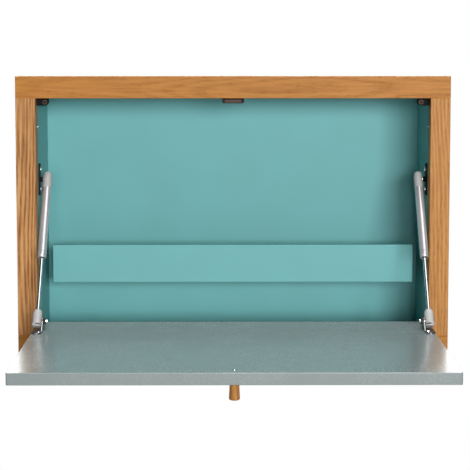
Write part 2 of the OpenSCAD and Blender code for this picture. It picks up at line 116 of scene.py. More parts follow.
lights = {row[0]: panel_light(*row) for row in LIGHTS}
# The back light is for the wall side; the case keeps it off everything that faces the camera
lights["back_light"].visible_camera = False
# The gloss light gives the struts their long highlight and leaves matt surfaces alone
lights["gloss_light"].visible_diffuse = False


def seen_white(tree, lit, output):
    """White where the camera looks at it, and softer as a source of light for the desk."""
    path = tree.nodes.new("ShaderNodeLightPath")
    white = tree.nodes.new("ShaderNodeEmission")
    white.inputs["Color"].default_value = (1, 1, 1, 1)
    mix = tree.nodes.new("ShaderNodeMixShader")
    tree.links.new(path.outputs["Is Camera Ray"], mix.inputs[0])
    tree.links.new(lit.outputs[0], mix.inputs[1])
    tree.links.new(white.outputs[0], mix.inputs[2])
    tree.links.new(mix.outputs[0], output.inputs["Surface"])


WORLD_COLOUR, WORLD_STRENGTH = (1, 0.99, 0.97, 1), 0.05
world = bpy.data.worlds.new("studio")
world.use_nodes = True
scene.world = world
studio = world.node_tree.nodes["Background"]
studio.inputs["Color"].default_value = WORLD_COLOUR
studio.inputs["Strength"].default_value = WORLD_STRENGTH
seen_white(world.node_tree, studio, world.node_tree.nodes["World Output"])

FLOOR_DROP, FLOOR_SIZE = 0.68, 40
FLOOR_COLOUR, FLOOR_ROUGH = (0.26, 0.26, 0.255, 1), 0.8
floor_mesh = bmesh.new()
bmesh.ops.create_grid(floor_mesh, x_segments=1, y_segments=1, size=FLOOR_SIZE)
floor_data = bpy.data.meshes.new("floor")
floor_mesh.to_mesh(floor_data)
floor_mesh.free()
floor = bpy.data.objects.new("floor", floor_data)
floor.location = (0, 0, cad_box[0].z - FLOOR_DROP)
scene.collection.objects.link(floor)
floor_paint = bpy.data.materials.new("pale_floor")
floor_paint.use_nodes = True
floor_nodes = floor_paint.node_tree.nodes
floor_shader = floor_nodes["Principled BSDF"]
floor_shader.inputs["Base Color"].default_value = FLOOR_COLOUR
floor_shader.inputs["Roughness"].default_value = FLOOR_ROUGH
seen_white(floor_paint.node_tree, floor_shader, floor_nodes["Material Output"])
floor_data.materials.append(floor_paint)

# ---------------------------------------------------------------- materials


class Shader:
    """A node material, built with short calls. Its coordinates are the desk's own, in metres."""

    def __init__(self, name):
        self.material = bpy.data.materials.new(name)
        self.material.use_nodes = True
        self.tree = self.material.node_tree
        self.surface = self.tree.nodes["Principled BSDF"]
        self.place = self.add("ShaderNodeTexCoord").outputs["Object"]

    def feed(self, socket, value):
        """Links a socket to another one, or sets it to a constant."""
        if isinstance(value, bpy.types.NodeSocket):
            self.tree.links.new(value, socket)
        else:
            socket.default_value = value

    def add(self, kind, inputs=None, **props):
        node = self.tree.nodes.new(kind)
        for key, value in props.items():
            setattr(node, key, value)
        for key, value in (inputs or {}).items():
            self.feed(node.inputs[key], value)
        return node

    def math(self, operation, a, b=0.0):
        return self.add("ShaderNodeMath", {0: a, 1: b}, operation=operation).outputs[0]

    def plus(self, a, b):
        return self.math("ADD", a, b)

    def minus(self, a, b):
        return self.math("SUBTRACT", a, b)

    def times(self, a, b):
        return self.math("MULTIPLY", a, b)

    def around(self, value, middle, gain):
        """A value's distance from its middle, times a gain."""
        return self.times(self.minus(value, middle), gain)

    def scaled(self, x, y, z):
        """The object's coordinates, multiplied axis by axis."""
        inputs = {0: self.place, 1: (x, y, z)}
        return self.add("ShaderNodeVectorMath", inputs, operation="MULTIPLY").outputs[0]

    def noise(self, place, detail, roughness=0.5, distortion=0.0):
        inputs = {"Vector": place, "Scale": 1.0, "Detail": detail, "Roughness": roughness}
        return self.add("ShaderNodeTexNoise", {**inputs, "Distortion": distortion}).outputs[0]

    def fit(self, value, low, high, out_low=0.0, out_high=1.0):
        """Smooth step from low to high."""
        inputs = {0: value, 1: low, 2: high, 3: out_low, 4: out_high}
        return self.add("ShaderNodeMapRange", inputs, interpolation_type="SMOOTHSTEP").outputs[0]

    def mix(self, share, a, b):
        a = (*a, 1) if isinstance(a, tuple) else a
        b = (*b, 1) if isinstance(b, tuple) else b
        return self.add("ShaderNodeMix", {0: share, 6: a, 7: b}, data_type="RGBA").outputs[2]

    def bump(self, height, depth, strength):
        inputs = {"Height": height, "Distance": depth, "Strength": strength}
        return self.add("ShaderNodeBump", inputs).outputs[0]

    def surface_is(self, **sockets):
        for name, value in sockets.items():
            value = (*value, 1) if isinstance(value, tuple) else value
            self.feed(self.surface.inputs[name.replace("_", " ")], value)
        return self.material


def wood(name, grain, face, tones, seed, ring, lean, heart, contrast, streaks=0.6, pore=1.0):
    """Sawn wood: rings round a pith beside the board, pores along the grain, and slow changes of tone.
    grain and face are the board's length and the normal of its show face. ring is a year's growth in mm.
    heart is where the pith lies across the width and along the face's normal, and lean is how fast the
    grain runs out of the face."""
    s = Shader(name)
    light, dark = tones
    parts = s.add("ShaderNodeSeparateXYZ", {0: s.place}).outputs
    width = ({"X", "Y", "Z"} - {grain, face}).pop()
    along, across, deep = parts[AXES[grain]], parts[AXES[width]], parts[AXES[face]]

    def stretch(run, cross, shift=0.0):
        """Coordinates for a noise that is drawn out along the grain."""
        return s.add("ShaderNodeCombineXYZ", {
            0: s.times(s.plus(along, seed + shift), run),
            1: s.times(s.plus(across, seed * 0.7), cross),
            2: s.times(deep, cross),
        }).outputs[0]

    wander = s.noise(stretch(4.5, 16.0), 3.0, 0.55)
    drift = s.noise(stretch(1.6, 5.0, 3.1), 1.0)
    side = s.plus(s.minus(across, heart[0]), s.around(wander, 0.5, 16 * MM))
    tilt = s.plus(s.times(along, lean), s.around(drift, 0.5, 50 * MM))
    depth = s.plus(s.minus(deep, heart[1]), tilt)
    radius = s.math("SQRT", s.plus(s.times(side, side), s.times(depth, depth)))
    age = s.math("FRACT", s.times(radius, 1.0 / (ring * MM)))
    early = s.times(s.fit(age, 0.0, 0.18), s.fit(age, 0.75, 0.3))
    fibre = s.noise(stretch(26.0, 950.0), 2.0, 0.6)
    band = s.noise(stretch(2.2, 60.0, 1.3), 3.0, 0.6)
    tone = s.noise(stretch(3.0, 7.0, 5.7), 2.0)
    streak = s.noise(stretch(13.0, 230.0, 4.4), 3.0, 0.6, 0.5)
    specks = s.fit(s.noise(stretch(70.0, 1500.0, 2.0), 1.0), 0.56, 0.70)
    pores = s.times(specks, s.fit(early, 0.0, 0.8, 0.25, 1.0))
    shade = s.plus(s.times(early, 0.42 * contrast), s.around(band, 0.5, 0.7 * contrast))
    shade = s.plus(shade, s.around(tone, 0.45, 0.5 * contrast))
    shade = s.plus(shade, s.around(streak, 0.5, streaks))
    shade = s.plus(shade, s.around(fibre, 0.5, 0.5))
    colour = s.mix(s.fit(shade, -0.35, 0.85), light, dark)
    pore_tone = tuple(0.42 * c for c in dark)
    return s.surface_is(
        Base_Color=s.mix(s.times(pores, 0.55 * pore), colour, pore_tone),
        Roughness=s.plus(s.fit(fibre, 0.2, 0.8, 0.40, 0.50), s.times(pores, 0.12)),
        Normal=s.bump(s.minus(s.times(fibre, 0.35), s.times(pores, 0.8 * pore)), 0.12 * MM, 0.6),
        Specular_IOR_Level=0.15,
    )


def coated(name, colour, rough, tone, peel=1.3, relief=0.012, metal=0.0, brushed=None, sheen=0.5):
    """Paint, plastic or metal: slight changes of tone, a fine relief and uneven gloss.
    tone is how far the colour strays. peel and relief are the relief's pitch and depth in mm.
    brushed is the axis along which the surface was drawn, and sheen the strength of its reflection."""
    s = Shader(name)
    pitch = 1.0 / (peel * MM)
    scale = [pitch, pitch, pitch]
    if brushed:
        scale[AXES[brushed]] = pitch * 0.02
    fine = s.noise(s.scaled(*scale), 2.0, 0.6)
    slow = s.noise(s.scaled(9.0, 9.0, 9.0), 2.0)
    dark = tuple(max(0.0, c * (1 - tone)) for c in colour)
    light = tuple(min(1.0, c * (1 + tone)) for c in colour)
    uneven = s.fit(slow, 0.3, 0.7, rough - 0.02, rough + 0.02)
    return s.surface_is(
        Base_Color=s.mix(s.fit(slow, 0.3, 0.7), dark, light),
        Metallic=metal,
        Roughness=s.plus(s.fit(fine, 0.25, 0.75, -0.04, 0.04), uneven),
        Normal=s.bump(fine, relief * MM, 0.7),
        Specular_IOR_Level=sheen,
    )


# Light and dark tones of each wood
OAK = (0.54, 0.256, 0.074), (0.26, 0.090, 0.015)
OAK_RAIL = (0.480, 0.202, 0.040), (0.26, 0.086, 0.009)
OAK_PALE = (0.58, 0.305, 0.112), (0.20, 0.062, 0.012)
PINE = (0.66, 0.48, 0.28), (0.47, 0.28, 0.12)
BEECH = (0.62, 0.42, 0.25), (0.48, 0.29, 0.15)
LID_GREY = (0.238, 0.279, 0.277)

oak_top = wood("oak_top_rail", "X", "Y", OAK_RAIL, 0.31, 3.0, 0.022, (0.045, -0.145), 0.35, 1.0)
oak_bottom = wood("oak_bottom_rail", "X", "Y", OAK_RAIL, 1.17, 3.2, 0.025, (-0.41, -0.150), 0.6, 0.8)
oak_left = wood("oak_stile_left", "Z", "Y", OAK_PALE, 2.23, 3.6, 0.010, (-0.385, -0.150), 0.9, 1.7)
oak_right = wood("oak_stile_right", "Z", "Y", OAK, 3.41, 3.2, 0.012, (0.40, -0.120), 0.55, 1.3)
oak_flat = wood("oak_board", "X", "Z", OAK, 4.2, 4.0, 0.03, (-0.09, 0.0), 0.8)
oak_side = wood("oak_side_board", "Z", "X", OAK, 5.3, 4.0, 0.03, (-0.09, 0.30), 0.8)
oak_knob = wood("oak_knob", "Z", "Y", OAK, 6.1, 2.6, 0.02, (0.0, -0.56), 0.8, 1.0)
pine = wood("pine", "X", "Y", PINE, 7.7, 4.5, 0.02, (-0.1, 0.09), 0.8, pore=0.15)
beech = wood("beech", "Z", "Y", BEECH, 8.3, 2.4, 0.01, (0.0, 0.2), 0.4, pore=0.3)
teal = coated("teal_satin", (0.152, 0.415, 0.420), 0.42, 0.02, sheen=0.14)
grey = coated("grey_satin", LID_GREY, 0.25, 0.02, 1.6, 0.003, sheen=0.75)
strike_grey = coated("grey_strike", LID_GREY, 0.30, 0.03, 0.8, sheen=0.75)
zinc = coated("zinc_plate", (0.16, 0.16, 0.155), 0.34, 0.10, 0.5, 0.012, 1.0, None, 0.25)
# Near-black and not metallic. On the struts' wire clips this is painted shade: the clip is made dark so
# that the cap's groove shows as a dark line. The stud nuts use it too.
dark_zinc_and_shade = coated("dark_zinc_and_shade", (0.016, 0.015, 0.015), 0.42, 0.15, 0.4, 0.02, sheen=0.3)
bright_steel = coated("bright_screw", (0.80, 0.80, 0.79), 0.18, 0.06, 0.3, 0.008, 1.0)
hinge_steel = coated("hinge_steel", (0.60, 0.60, 0.58), 0.30, 0.08, 0.25, 0.010, 1.0, "X", 0.2)
chrome = coated("hard_chrome", (0.90, 0.90, 0.92), 0.16, 0.02, 0.12, 0.003, 1.0)
tube_lacquer = coated("tube_lacquer", (0.60, 0.585, 0.605), 0.22, 0.02, 0.9, 0.006, 0.6)
cap_grey = coated("cap_plastic", (0.41, 0.405, 0.40), 0.45, 0.05, 0.35, 0.012)
black_plate = coated("black_powder", (0.005, 0.005, 0.005), 0.45, 0.2, 0.45, 0.03, sheen=0.1)
black_moulded = coated("black_moulded", (0.006, 0.006, 0.006), 0.55, 0.2, 0.4, 0.02, sheen=0.08)
catch_brown = coated("catch_brown", (0.013, 0.008, 0.006), 0.45, 0.15, 0.5, 0.02, sheen=0.12)
catch_tan = coated("catch_tan", (0.12, 0.068, 0.050), 0.45, 0.12, 0.5, 0.02, sheen=0.2)
magnet_brown = coated("magnet_ferrite", (0.085, 0.050, 0.040), 0.5, 0.1, 0.2, 0.01, sheen=0.2)
bumper_pale = coated("bumper_rim", (0.12, 0.095, 0.065), 0.55, 0.08, 0.3, 0.015, sheen=0.2)
bumper_red = coated("bumper_core", (0.030, 0.006, 0.005), 0.5, 0.15, 0.3, 0.02, sheen=0.1)

# ---------------------------------------------------------------- mesh helpers


def piece(name, bm, body, material, slot, *nodes, sharp=38):
    """Makes the mesh a smooth-shaded piece that rides on a body and stands for CAD nodes."""
    bmesh.ops.recalc_face_normals(bm, faces=bm.faces)
    mesh = bpy.data.meshes.new(name)
    bm.to_mesh(mesh)
    bm.free()
    mesh.shade_smooth()
    mesh.set_sharp_from_angle(angle=math.radians(sharp))
    obj = bpy.data.objects.new(name, mesh)
    scene.collection.objects.link(obj)
    mesh.materials.append(material)
    obj.modifiers.new("even_flats", "WEIGHTED_NORMAL").keep_sharp = True
    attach(obj, body)
    if nodes:
        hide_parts(*nodes)


def keep(material, *nodes, edge=0.0):
    """Shows CAD nodes as they are, with a material and, if edge is given, softened edges."""
    for n in nodes:
        obj = frame["nodes"][n]
        obj.data.materials.clear()
        obj.data.materials.append(material)
        if edge:
            obj.modifiers.new("weld", "WELD").merge_threshold = 0.002 * MM
            bevel = obj.modifiers.new("edge", "BEVEL")
            bevel.width = edge
            bevel.segments = 2
            bevel.angle_limit = math.radians(50)
            bevel.harden_normals = True


def solids(node):
    """Boxes of a node's separate solids, from left to right, front to back and bottom to top."""
    bm = bmesh.new()
    bm.from_mesh(frame["nodes"][node].data)
    bmesh.ops.remove_doubles(bm, verts=bm.verts, dist=0.001 * MM)
    left, boxes = set(bm.verts), []
    while left:
        stack = [left.pop()]
        group = list(stack)
        while stack:
            for e in stack.pop().link_edges:
                for v in e.verts:
                    if v in left:
                        left.remove(v)
                        stack.append(v)
                        group.append(v)
        ends = [Vector([pick(v.co[k] for v in group) for k in range(3)]) for pick in (min, max)]
        boxes.append(tuple(ends))
    bm.free()
    return sorted(boxes, key=lambda b: [round(c, 4) for c in (b[0] + b[1])])


EDGE_STEPS = 3


def rounded(bm, edges, width, steps=EDGE_STEPS):
    """Rounds edges of a mesh, unless the width is nought."""
    if width:
        bmesh.ops.bevel(bm, geom=edges, offset=width, segments=steps, profile=0.5, affect="EDGES")
    return bm


def box_mesh(lo, hi, edge):
    """Box between two corners with rounded edges."""
    bm = bmesh.new()
    bmesh.ops.create_cube(bm, size=1)
    bmesh.ops.scale(bm, vec=hi - lo, verts=bm.verts)
    bmesh.ops.translate(bm, vec=(lo + hi) / 2, verts=bm.verts)
    return rounded(bm, bm.edges[:], edge)


def join(bm, other):
    """Adds another mesh to bm and frees it."""
    mesh = bpy.data.meshes.new("part")
    other.to_mesh(mesh)
    other.free()
    bm.from_mesh(mesh)
    bpy.data.meshes.remove(mesh)


def moved(bm, matrix):
    bmesh.ops.transform(bm, matrix=matrix, verts=bm.verts)
    return bm


def board(node, material, slot, edge=0.5 * MM):
    """Boards of the case, with eased edges, in place of a node's solids."""
    bm = bmesh.new()
    for lo, hi in solids(node):
        join(bm, box_mesh(lo, hi, edge))
    piece(node + "_board", bm, CASE, material, slot, node)


def lathe(profile, steps, closed=False):
    """Solid turned about Z from (radius, height) points; closed joins the last point to the first."""
    bm = bmesh.new()
    rings = []
    for r, z in profile:
        count = 1 if r < 1e-7 else steps
        turn = [2 * math.pi * k / steps for k in range(count)]
        rings.append([bm.verts.new((r * math.cos(t), r * math.sin(t), z)) for t in turn])
    for a, b in zip(rings, rings[1:] + rings[:1] if closed else rings[1:]):
        for k in range(steps):
            j = (k + 1) % steps
            corners = [a[k % len(a)], a[j % len(a)], b[j % len(b)], b[k % len(b)]]
            corners = list(dict.fromkeys(corners))
            if len(corners) > 2:
                bm.faces.new(corners)
    bmesh.ops.recalc_face_normals(bm, faces=bm.faces)
    return bm


def arc(cx, cy, r, start, end, steps=6):
    """Points of an arc from one angle to another, in degrees."""
    turn = [math.radians(start + (end - start) * k / steps) for k in range(steps + 1)]
    return [(cx + r * math.cos(t), cy + r * math.sin(t)) for t in turn]


def round_rect(w, h, r, steps=6):
    """Outline of a rectangle about the origin, with round corners."""
    out = []
    for sx, sy, start in ((1, 1, 0), (-1, 1, 90), (-1, -1, 180), (1, -1, 270)):
        out += arc(sx * (w / 2 - r), sy * (h / 2 - r), r, start, start + 90, steps)
    return out


def plate(outline, thick, edge, steps=EDGE_STEPS):
    """Plate between z = 0 and z = thick with rounded rims."""
    bm = bmesh.new()
    loops = [[bm.verts.new((x, y, z)) for x, y in outline] for z in (0, thick)]
    rims = []
    for loop in loops:
        rims += bm.faces.new(loop).edges[:]
    for k in range(len(outline)):
        j = (k + 1) % len(outline)
        bm.faces.new([loops[0][k], loops[0][j], loops[1][j], loops[1][k]])
    bmesh.ops.recalc_face_normals(bm, faces=bm.faces)
    return rounded(bm, rims, edge, steps)


def combine(bm, other, operation="DIFFERENCE"):
    """Exact boolean of two closed meshes; both are freed."""
    objs = []
    for m in (bm, other):
        bmesh.ops.recalc_face_normals(m, faces=m.faces)
        mesh = bpy.data.meshes.new("part")
        m.to_mesh(mesh)
        m.free()
        objs.append(bpy.data.objects.new("part", mesh))
        scene.collection.objects.link(objs[-1])
    cut = objs[0].modifiers.new("cut", "BOOLEAN")
    cut.operation, cut.solver, cut.object = operation, "EXACT", objs[1]
    graph = bpy.context.evaluated_depsgraph_get()
    result = bmesh.new()
    result.from_mesh(objs[0].evaluated_get(graph).to_mesh())
    objs[0].evaluated_get(graph).to_mesh_clear()
    for o in objs:
        mesh = o.data
        bpy.data.objects.remove(o)
        bpy.data.meshes.remove(mesh)
    return result


def facing(direction, origin, side=None):
    """Matrix that takes +Z to a direction and the origin to a point; side, if given, is where +X goes."""
    z = Vector(direction).normalized()
    x = Vector(side) if side is not None else (UNIT["X"] if abs(z.x) < 0.9 else UNIT["Y"])
    x = (x - x.dot(z) * z).normalized()
    y = z.cross(x)
    return Matrix.Translation(origin) @ Matrix((x, y, z)).transposed().to_4x4()


# ---------------------------------------------------------------- screws


def screw_mesh(head_r, length, head_h, shank_r, pan, dome):
    """Screw with a cross recess. Its head's top is at z = 0; a domed flat head has its rim there."""
    tip = shank_r * 0.25
    profile = [(0, -length), (tip, -length), (shank_r, -length + 2.2 * shank_r)]
    if pan:
        crown = 0.62 * head_h
        profile += [(shank_r, -head_h), (head_r * 0.97, -head_h), (head_r, -head_h * 0.93)]
        profile += [(head_r, -crown)]
        turns = [math.radians(18 * k) for k in (1, 2, 3, 4)]
        profile += [(head_r * math.cos(t), -crown * (1 - math.sin(t))) for t in turns]
        profile += [(0, 0)]
    else:
        profile += [(shank_r, -head_h), (head_r * 0.985, -0.12 * head_h), (head_r, -0.06 * head_h)]
        profile += [(head_r * 0.97, 0.5 * dome), (head_r * 0.8, 0.85 * dome)]
        profile += [(head_r * 0.45, dome), (0, dome)]
    bm = lathe(profile, 40)
    reach, slot_w, deep = head_r * 0.56, head_r * 0.17, min(head_h * 0.8, head_r * 0.6)
    for quarter in (0, 90):
        blade = bmesh.new()
        bmesh.ops.create_cube(blade, size=1)
        for v in blade.verts:
            taper, z = (0.55, -deep) if v.co.z < 0 else (1.15, dome + 0.2 * MM)
            v.co = Vector((v.co.x * 2 * reach * taper, v.co.y * 2 * slot_w * taper, z))
        bm = combine(bm, moved(blade, Matrix.Rotation(math.radians(quarter), 4, "Z")))
    return bm


def screws(node, direction, head_h, shank_r, body, pan=True, dome=0.0):
    """Screws in place of a node's solids. direction says which way a head faces, from its place."""
    bm, made = bmesh.new(), None
    for index, (lo, hi) in enumerate(solids(node)):
        d = direction(lo + hi)
        axis = max(range(3), key=lambda k: abs(d[k]))
        size = hi - lo
        top = (lo + hi) / 2
        top[axis] = hi[axis] if d[axis] > 0 else lo[axis]
        if made is None:
            head_r = max(size[k] for k in range(3) if k != axis) / 2
            part = screw_mesh(head_r, size[axis], head_h, shank_r, pan, dome)
            made = bpy.data.meshes.new("screw")
            part.to_mesh(made)
            part.free()
        one = bmesh.new()
        one.from_mesh(made)
        spin = Matrix.Rotation(math.radians(20 + 37 * index), 4, "Z")
        join(bm, moved(one, facing(d, top) @ spin))
    bpy.data.meshes.remove(made)
    piece(node + "_heads", bm, body, bright_steel, "screw_steel", node, sharp=50)


def always(axis):
    """Direction along an axis, whatever the place."""
    return lambda place: UNIT[axis]


def inboard(place):
    """Direction from a place towards the middle of the desk."""
    return UNIT["X"] * (-1 if place.x > 0 else 1)


screws("upper_bracket_screws", inboard, 2.2 * MM, 1.75 * MM, CASE)
screws("back_screws", always("Y"), 2.5 * MM, 1.75 * MM, CASE)
screws("hinge_case_screws", always("Z"), 1.2 * MM, 1.2 * MM, CASE, pan=False)
screws("hinge_lid_screws", always("Y"), 1.2 * MM, 1.2 * MM, LID, pan=False)
screws("lid_bracket_screws", always("Z"), 1.8 * MM, 1.75 * MM, LID)
screws("knob_screw", always("Z"), 2.4 * MM, 2.0 * MM, LID, pan=False, dome=0.9 * MM)

# ---------------------------------------------------------------- case

CRISP, SOFT = 0.3 * MM, 0.8 * MM

board("frame_top_rail", oak_top, "oak")
board("frame_bottom_rail", oak_bottom, "oak")
board("frame_stile_left", oak_left, "oak")
board("frame_stile_right", oak_right, "oak")
for n in ("board_top", "board_bottom"):
    board(n, oak_flat, "oak")
for n in ("board_left", "board_right"):
    board(n, oak_side, "oak")
for n in ("lining_top", "lining_left", "lining_right", "back_panel"):
    board(n, teal, "teal_paint", CRISP)
for n in ("floor_panel", "rack_front", "rack_floor", "rack_end_left", "rack_end_right"):
    board(n, teal, "teal_paint", SOFT)
board("spacer_batten", pine, "batten_wood", SOFT)
keep(pine, "case_cleat", "wall_rail", edge=0.6 * MM)
keep(beech, "dowels")

# Stop pins: turned, with rounded noses
bm = bmesh.new()
for lo, hi in solids("stop_pins"):
    r, length = (hi.z - lo.z) / 2, hi.x - lo.x
    nose = Vector((lo.x if lo.x > 0 else hi.x, (lo.y + hi.y) / 2, (lo.z + hi.z) / 2))
    profile = [(0, -length), (r, -length)] + arc(r * 0.4, -r * 0.6, r * 0.6, 0, 90) + [(0, 0)]
    join(bm, moved(lathe(profile, 32), facing(inboard(nose), nose)))
piece("stop_pins_turned", bm, CASE, bright_steel, "screw_steel", "stop_pins")

# Magnetic catch under the top rail: a moulded box with rounded lower corners and a lighter cover
lo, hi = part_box("catch_housing")
w, h, deep = hi.x - lo.x, hi.z - lo.z, hi.y - lo.y
corner = 3 * MM
outline = [(w / 2, h / 2), (-w / 2, h / 2)] + arc(-w / 2 + corner, -h / 2 + corner, corner, 180, 270)
outline += arc(w / 2 - corner, -h / 2 + corner, corner, 270, 360)
middle = Vector(((lo.x + hi.x) / 2, lo.y, (lo.z + hi.z) / 2))
housing = moved(plate(outline, deep, 0.6 * MM), facing((0, 1, 0), middle, side=(-1, 0, 0)))
magnet_lo, magnet_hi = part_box("catch_magnet")
slot_lo = magnet_lo - Vector((0.4 * MM, 2 * MM, 0.4 * MM))
slot_hi = magnet_hi + Vector((0.4 * MM, 0.2 * MM, 0.4 * MM))
housing = combine(housing, box_mesh(slot_lo, slot_hi, 0))
piece("catch_box", housing, CASE, catch_brown, "brown_plastic", "catch_housing")
lip_lo = Vector((lo.x + corner, lo.y - 0.2 * MM, lo.z + 0.9 * MM))
lip_hi = Vector((hi.x - corner, lo.y + 0.15 * MM, magnet_lo.z - 0.7 * MM))
piece("catch_lip", box_mesh(lip_lo, lip_hi, 0.1 * MM), CASE, catch_tan, "brown_plastic")
magnet = box_mesh(magnet_lo, magnet_hi, 0.25 * MM)
piece("catch_magnet_bar", magnet, CASE, magnet_brown, "magnet", "catch_magnet")

# Corner stops: moulded blocks that carry a soft bumper
stops, bumpers = solids("corner_stops"), solids("corner_bumpers")
for (name, side), (lo, hi), (bump_lo, bump_hi) in zip(SIDES, stops, bumpers):
    # The first pair stands for both solids of the CAD nodes
    stop_nodes, bumper_nodes = (("corner_stops",), ("corner_bumpers",)) if side < 0 else ((), ())
    axis = Vector(((bump_lo.x + bump_hi.x) / 2, bump_lo.y, (bump_lo.z + bump_hi.z) / 2))
    front = Vector((axis.x, lo.y, axis.z))
    r = (bump_hi.x - bump_lo.x) / 2
    seat = r + 2 * MM
    wall_x = (hi.x if side > 0 else lo.x) - axis.x
    top = hi.z - axis.z
    low = lo.z - axis.z
    points = arc(0, 0, seat, 180, 270, 8) if side > 0 else arc(0, 0, seat, 0, -90, 8)
    outline = [(-side * seat, top)] + points + [(side * 2 * MM, low), (wall_x, low), (wall_x, top)]
    if side < 0:
        outline.reverse()
    place = facing((0, 1, 0), front, side=(-1, 0, 0)) @ Matrix.Scale(-1, 4, (1, 0, 0))
    block = moved(plate(outline, hi.y - lo.y, 0.5 * MM), place)
    cup = lathe([(0, -4.5 * MM), (r, -4.5 * MM), (r, MM), (0, MM)], 40)
    stop = combine(block, moved(cup, facing((0, -1, 0), front)))
    piece(f"corner_stop_{name}", stop, CASE, black_moulded, "black_plastic", *stop_nodes)
    facing_out = facing((0, -1, 0), axis)
    deep = bump_hi.y - bump_lo.y
    rim = [(r - 1.3 * MM, -deep), (r - 0.02 * MM, -deep)]
    rim += arc(r - 0.52 * MM, -0.5 * MM, 0.5 * MM, 0, 90, 4) + [(r - 1.3 * MM, 0)]
    piece(f"bumper_rim_{name}", moved(lathe(rim, 40, closed=True), facing_out),
          CASE, bumper_pale, "bumper_rubber", *bumper_nodes)
    core = [(0, -deep), (r - 1.32 * MM, -deep), (r - 1.32 * MM, -0.9 * MM)]
    core += arc(r - 1.82 * MM, -0.9 * MM, 0.5 * MM, 0, 90, 4) + [(0, -0.35 * MM)]
    piece(f"bumper_core_{name}", moved(lathe(core, 40), facing_out), CASE, bumper_red, "bumper_rubber")

# Upper strut brackets: a plate with round corners and a riveted collar
UPPER_PLATE = 2.5 * MM
for name, side in SIDES:
    lo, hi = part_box(f"upper_bracket_{name}")
    wall_x = hi.x if side > 0 else lo.x
    centre = Vector((wall_x, (lo.y + hi.y) / 2, (lo.z + hi.z) / 2))
    ball_lo, ball_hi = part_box(f"tube_ball_{name}")
    stud = Vector((wall_x, (ball_lo.y + ball_hi.y) / 2, (ball_lo.z + ball_hi.z) / 2))
    flat = plate(round_rect(hi.y - lo.y, hi.z - lo.z, 5 * MM), UPPER_PLATE, 0.5 * MM)
    bm = moved(flat, facing((-side, 0, 0), centre, side=(0, 1, 0)))
    run = hi.x - lo.x
    collar = [(0, 0.5 * MM), (5 * MM, 0.5 * MM), (5 * MM, UPPER_PLATE + 1.6 * MM)]
    collar += [(4.2 * MM, UPPER_PLATE + 2.2 * MM), (3.9 * MM, run - 1.2 * MM), (4.6 * MM, run - 0.6 * MM)]
    collar += [(4.6 * MM, run - 0.2 * MM), (4.3 * MM, run), (0, run)]
    bm = combine(bm, moved(lathe(collar, 40), facing((-side, 0, 0), stud)), "UNION")
    piece(f"upper_bracket_plate_{name}", bm, CASE, black_plate, "black_steel", f"upper_bracket_{name}")

keep(hinge_steel, "hinge_case_leaves", "hinge_lid_leaves", edge=0.2 * MM)
keep(hinge_steel, "hinge_pins")

# ---------------------------------------------------------------- lid

# Panel, with a recess for the catch's strike and a countersink for the knob's screw
lo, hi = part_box("lid_panel")
lid = plate(round_rect(hi.x - lo.x, hi.y - lo.y, 3 * MM), hi.z - lo.z, MM, 4)
moved(lid, Matrix.Translation(((lo.x + hi.x) / 2, (lo.y + hi.y) / 2, lo.z)))
strike_lo, strike_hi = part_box("catch_strike")
recess_lo = strike_lo - Vector((0.1 * MM, 0.1 * MM, 0))
recess_hi = strike_hi + Vector((0.1 * MM, 0.1 * MM, 2 * MM))
lid = combine(lid, box_mesh(recess_lo, recess_hi, 0))
screw_lo, screw_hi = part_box("knob_screw")
sink_r = (screw_hi.x - screw_lo.x) / 2 + 0.06 * MM
sink = lathe([(0, -2.6 * MM), (2.05 * MM, -2.5 * MM), (sink_r, 0), (sink_r, MM), (0, MM)], 40)
lid = combine(lid, moved(sink, Matrix.Translation((0, (screw_lo.y + screw_hi.y) / 2, screw_hi.z))))
piece("lid_board", lid, LID, grey, "grey_paint", "lid_panel")
strike = box_mesh(strike_lo, strike_hi, 0.2 * MM)
piece("catch_strike_plate", strike, LID, strike_grey, "strike_paint", "catch_strike")

# Knob: turned, slightly wider at its free end
lo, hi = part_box("knob")
end_r, length = (hi.x - lo.x) / 2, hi.z - lo.z
root_r, edge = end_r - MM, 2.5 * MM
profile = [(0, 0), (root_r - 0.3 * MM, 0), (root_r, 0.3 * MM), (root_r + 0.45 * MM, length * 0.5)]
profile += arc(end_r - edge, length - edge, edge, 0, 90, 8) + [(0, length)]
top = Vector(((lo.x + hi.x) / 2, (lo.y + hi.y) / 2, hi.z))
piece("knob_turned", moved(lathe(profile, 64), facing((0, 0, -1), top)), LID, oak_knob, "knob_oak", "knob")

# Lid brackets: a screwed flange with a tab beside the strut's end cap
SHEET, TAB_R, FOOT = 2 * MM, 7.5 * MM, 24 * MM
for name, side in SIDES:
    lo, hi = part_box(f"lid_bracket_{name}")
    flange_w = hi.x - lo.x
    ball = Vector(JOINTS[f"strut_{name}_swing"]["pos_m"])
    up = ball.z - lo.z
    flange = plate(round_rect(flange_w, hi.y - lo.y, 0.46 * flange_w, 8), SHEET, 0.6 * MM)
    moved(flange, Matrix.Translation(((lo.x + hi.x) / 2, (lo.y + hi.y) / 2, lo.z)))
    outline = [(-FOOT, SHEET * 0.2 - up), (FOOT, SHEET * 0.2 - up), (FOOT - 1.5 * MM, 2.2 * MM - up)]
    outline += arc(0, 0, TAB_R, 8, 172, 14) + [(1.5 * MM - FOOT, 2.2 * MM - up)]
    root = Vector((lo.x if side > 0 else hi.x, ball.y, ball.z))
    tab = moved(plate(outline, SHEET, 0.35 * MM), facing((side, 0, 0), root, side=(0, side, 0)))
    piece(f"lid_bracket_plate_{name}", combine(flange, tab, "UNION"), LID, zinc, "plated_steel",
          f"lid_bracket_{name}")

